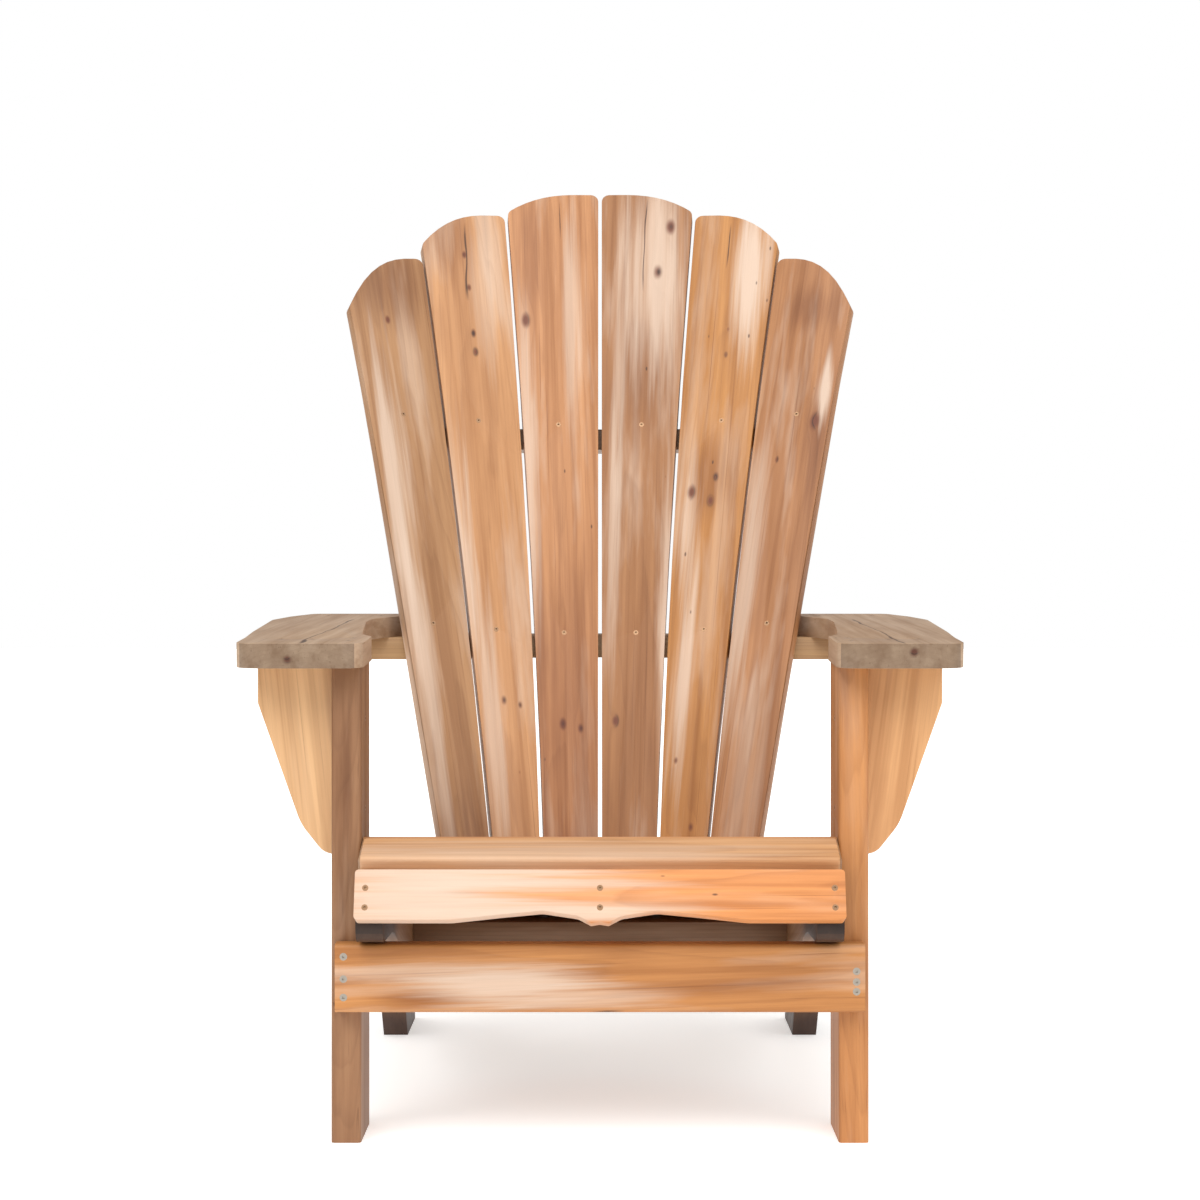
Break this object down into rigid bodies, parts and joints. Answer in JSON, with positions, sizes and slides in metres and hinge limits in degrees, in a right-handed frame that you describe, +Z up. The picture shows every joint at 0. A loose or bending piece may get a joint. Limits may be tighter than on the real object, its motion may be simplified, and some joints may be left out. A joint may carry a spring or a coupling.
{
  "type": "adirondack chair",
  "caption": "Cedar adirondack chair with a fanned hollow back, a sloping slatted seat, broad splayed arms on brackets, and a scalloped front slat.",
  "frame": {"origin": "middle of the chair's width and depth, on the floor", "axes": "+Z up, -Y the way the sitter faces, +X the sitter's left"},
  "size_m": [0.8112, 0.861, 1.1226],
  "materials": {
    "cedar": "planed and sanded cedar with eased edges, clear satin oil",
    "screw_steel": "stainless countersunk screws with a square recess",
    "bolt_steel": "zinc plated bolts, washers and nuts"
  },
  "bodies": {
    "root": {"back_slat_1": "cedar", "back_slat_2": "cedar", "back_slat_3": "cedar", "back_slat_4": "cedar", "back_slat_5": "cedar", "back_slat_6": "cedar", "upper_back_rail": "cedar", "arm_rail": "cedar", "lower_back_rail": "cedar", "arm_left": "cedar", "arm_right": "cedar", "front_leg_left": "cedar", "front_leg_right": "cedar", "rear_leg_left": "cedar", "rear_leg_right": "cedar", "side_rail_left": "cedar", "side_rail_right": "cedar", "seat_rib": "cedar", "arm_bracket_left": "cedar", "arm_bracket_right": "cedar", "front_stretcher": "cedar", "front_apron_slat": "cedar", "seat_slat_1": "cedar", "seat_slat_2": "cedar", "seat_slat_3": "cedar", "seat_slat_4": "cedar", "seat_slat_5": "cedar", "seat_slat_6": "cedar", "seat_slat_7": "cedar", "back_screws_upper": "screw_steel", "back_screws_middle": "screw_steel", "back_screws_lower": "screw_steel", "stretcher_screws": "screw_steel", "apron_screws": "screw_steel", "seat_screws": "screw_steel", "arm_screws": "screw_steel", "bracket_screws": "screw_steel", "lower_rail_screws": "screw_steel", "leg_bolts": "bolt_steel", "leg_washers": "bolt_steel", "leg_nuts": "bolt_steel"}
  },
  "joints": []
}
